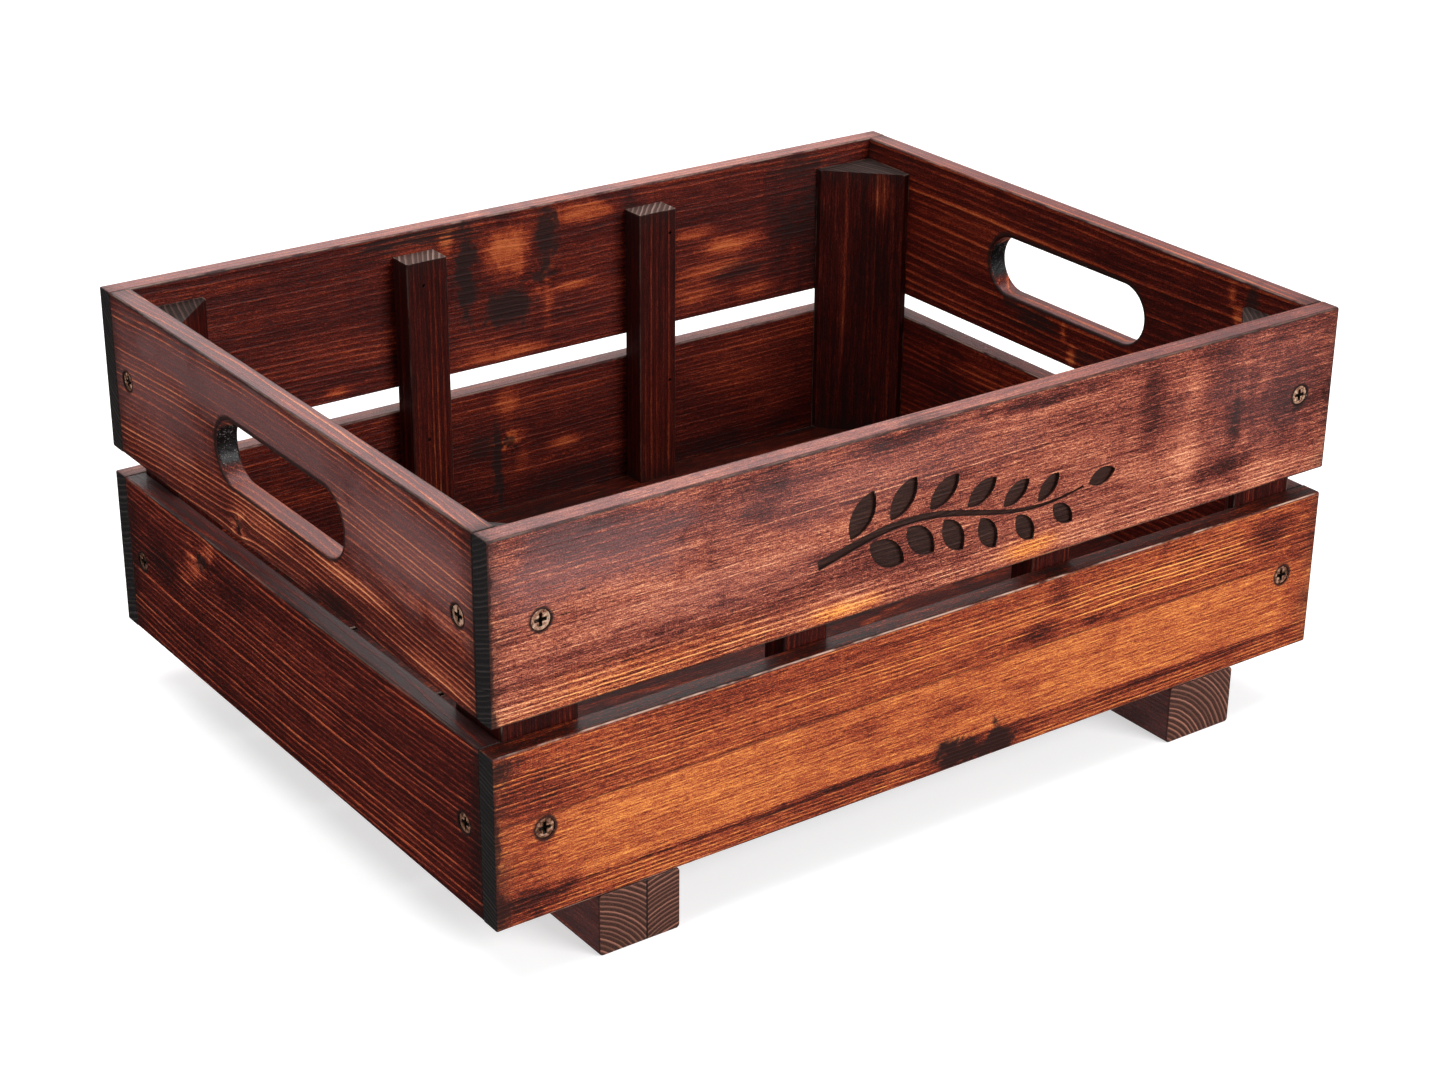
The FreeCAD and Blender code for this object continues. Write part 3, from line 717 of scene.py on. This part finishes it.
def screw_places(board):
    """Where a board's two screws stand in its grain coordinates, in mm."""
    low, high = [[1000.0 * c for c in corner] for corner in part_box(board.replace("_board", "_screws"))]
    along = 0 if high[0] - low[0] > high[1] - low[1] else 1
    head = (high[2] - low[2]) / 2
    return tuple((u, low[2] + head) for u in (low[along] + head, high[along] - head))


def dress(node, material):
    """Give a piece of the crate this one material."""
    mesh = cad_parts[node].data
    mesh.materials.clear()
    mesh.materials.append(material)


for name, wood in WOODS.items():
    low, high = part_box(name)
    if name.endswith("_board") and name.startswith(("upper", "lower")):
        wood.screws = screw_places(name)
    dress(name, wood_material(name, wood, low, high))
bronze = {axis: bronze_material(f"antique_bronze_{axis}", axis) for axis in "xyz"}
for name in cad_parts:
    if name.endswith("_end_screws"):
        dress(name, bronze["x"])
    elif name.endswith(("_front_screws", "_back_screws")):
        dress(name, bronze["y"])
    elif name.endswith("_screws"):
        dress(name, bronze["z"])
dress("batten_brads", black_steel_material("black_steel"))


# ---------------------------------------------------------------- floor, light and camera

FLOOR_SIZE = 60.0


def plain_floor():
    """A pale floor that glows a little, and more so far from the crate, where it fades into the white."""
    bpy.ops.mesh.primitive_plane_add(size=FLOOR_SIZE)
    floor = bpy.context.object
    floor.name = "studio_floor"
    g = Graph("studio_floor")
    x, y, z = axis_values(g, "xyz")
    cloud = g.noise(g.vector(x * 0.01, y * 0.01, z), 2.0)
    shade = g.mix(cloud, (0.60, 0.60, 0.60), (0.63, 0.63, 0.63))
    far = g.math("SQRT", x * x + y * y)
    glow = g.mix(g.step(far, 1200.0, 4000.0), (0.58, 0.58, 0.58), (1.0, 1.0, 1.0))
    floor.data.materials.append(g.finish(shade, 0.9, g.bump(cloud, 0.0001), glow=glow, glow_strength=1.0))
    floor.visible_glossy = False


def softbox(name, place, aim, size, power):
    """A rectangular lamp that looks at aim. Size in metres, power in watts."""
    lamp = bpy.data.lights.new(name, "AREA")
    lamp.shape = "RECTANGLE"
    lamp.size = size[0]
    lamp.size_y = size[1]
    lamp.energy = power
    holder = bpy.data.objects.new(name, lamp)
    bpy.context.scene.collection.objects.link(holder)
    holder.location = place
    holder.rotation_euler = (Vector(aim) - Vector(place)).to_track_quat("-Z", "Y").to_euler()


def dome(tree):
    """White light from overhead that fades to almost nothing below the horizon."""
    background = tree.nodes["Background"]
    background.inputs["Color"].default_value = (1.0, 1.0, 1.0, 1.0)
    place = tree.nodes.new("ShaderNodeTexCoord")
    split = tree.nodes.new("ShaderNodeSeparateXYZ")
    fade = tree.nodes.new("ShaderNodeMapRange")
    fade.inputs["From Min"].default_value = -0.02
    fade.inputs["From Max"].default_value = 0.25
    fade.inputs["To Min"].default_value = 0.01
    fade.inputs["To Max"].default_value = 0.20
    tree.links.new(place.outputs["Generated"], split.inputs[0])
    tree.links.new(split.outputs["Z"], fade.inputs["Value"])
    tree.links.new(fade.outputs["Result"], background.inputs["Strength"])


def studio():
    """White surroundings and four large lamps round the crate."""
    world = bpy.data.worlds.new("studio")
    bpy.context.scene.world = world
    world.use_nodes = True
    dome(world.node_tree)
    middle = (0.0, 0.0, 0.1)
    softbox("overhead", (0.1, 0.4, 2.2), middle, (2.8, 2.0), 66.0)
    softbox("front_key", (0.9, -2.3, 1.3), middle, (1.4, 1.2), 64.0)
    softbox("left_fill", (-2.4, -0.3, 1.3), middle, (1.0, 1.6), 20.0)
    softbox("back_wall", (0.6, 2.6, 1.2), middle, (3.0, 1.4), 30.0)


CAMERA_PLACE = (-0.6223, -0.8674, 0.5570)
CAMERA_AZIMUTH = math.radians(-35.78)
CAMERA_ELEVATION = math.radians(24.64)
CAMERA_ROLL = math.radians(0.54)
CAMERA_LENS = 69.9


def camera():
    """The camera, looking down on the crate from its front left corner."""
    data = bpy.data.cameras.new("camera")
    data.lens = CAMERA_LENS
    data.sensor_width = 36.0
    holder = bpy.data.objects.new("camera", data)
    bpy.context.scene.collection.objects.link(holder)
    a, e = CAMERA_AZIMUTH, CAMERA_ELEVATION
    back = Vector((math.sin(a) * math.cos(e), -math.cos(a) * math.cos(e), math.sin(e)))
    turn = back.to_track_quat("Z", "Y").to_matrix().to_4x4()
    turn = turn @ Matrix.Rotation(CAMERA_ROLL, 4, "Z")
    holder.matrix_world = Matrix.Translation(CAMERA_PLACE) @ turn
    bpy.context.scene.camera = holder


plain_floor()
studio()
camera()
bpy.context.scene.view_settings.view_transform = "Standard"
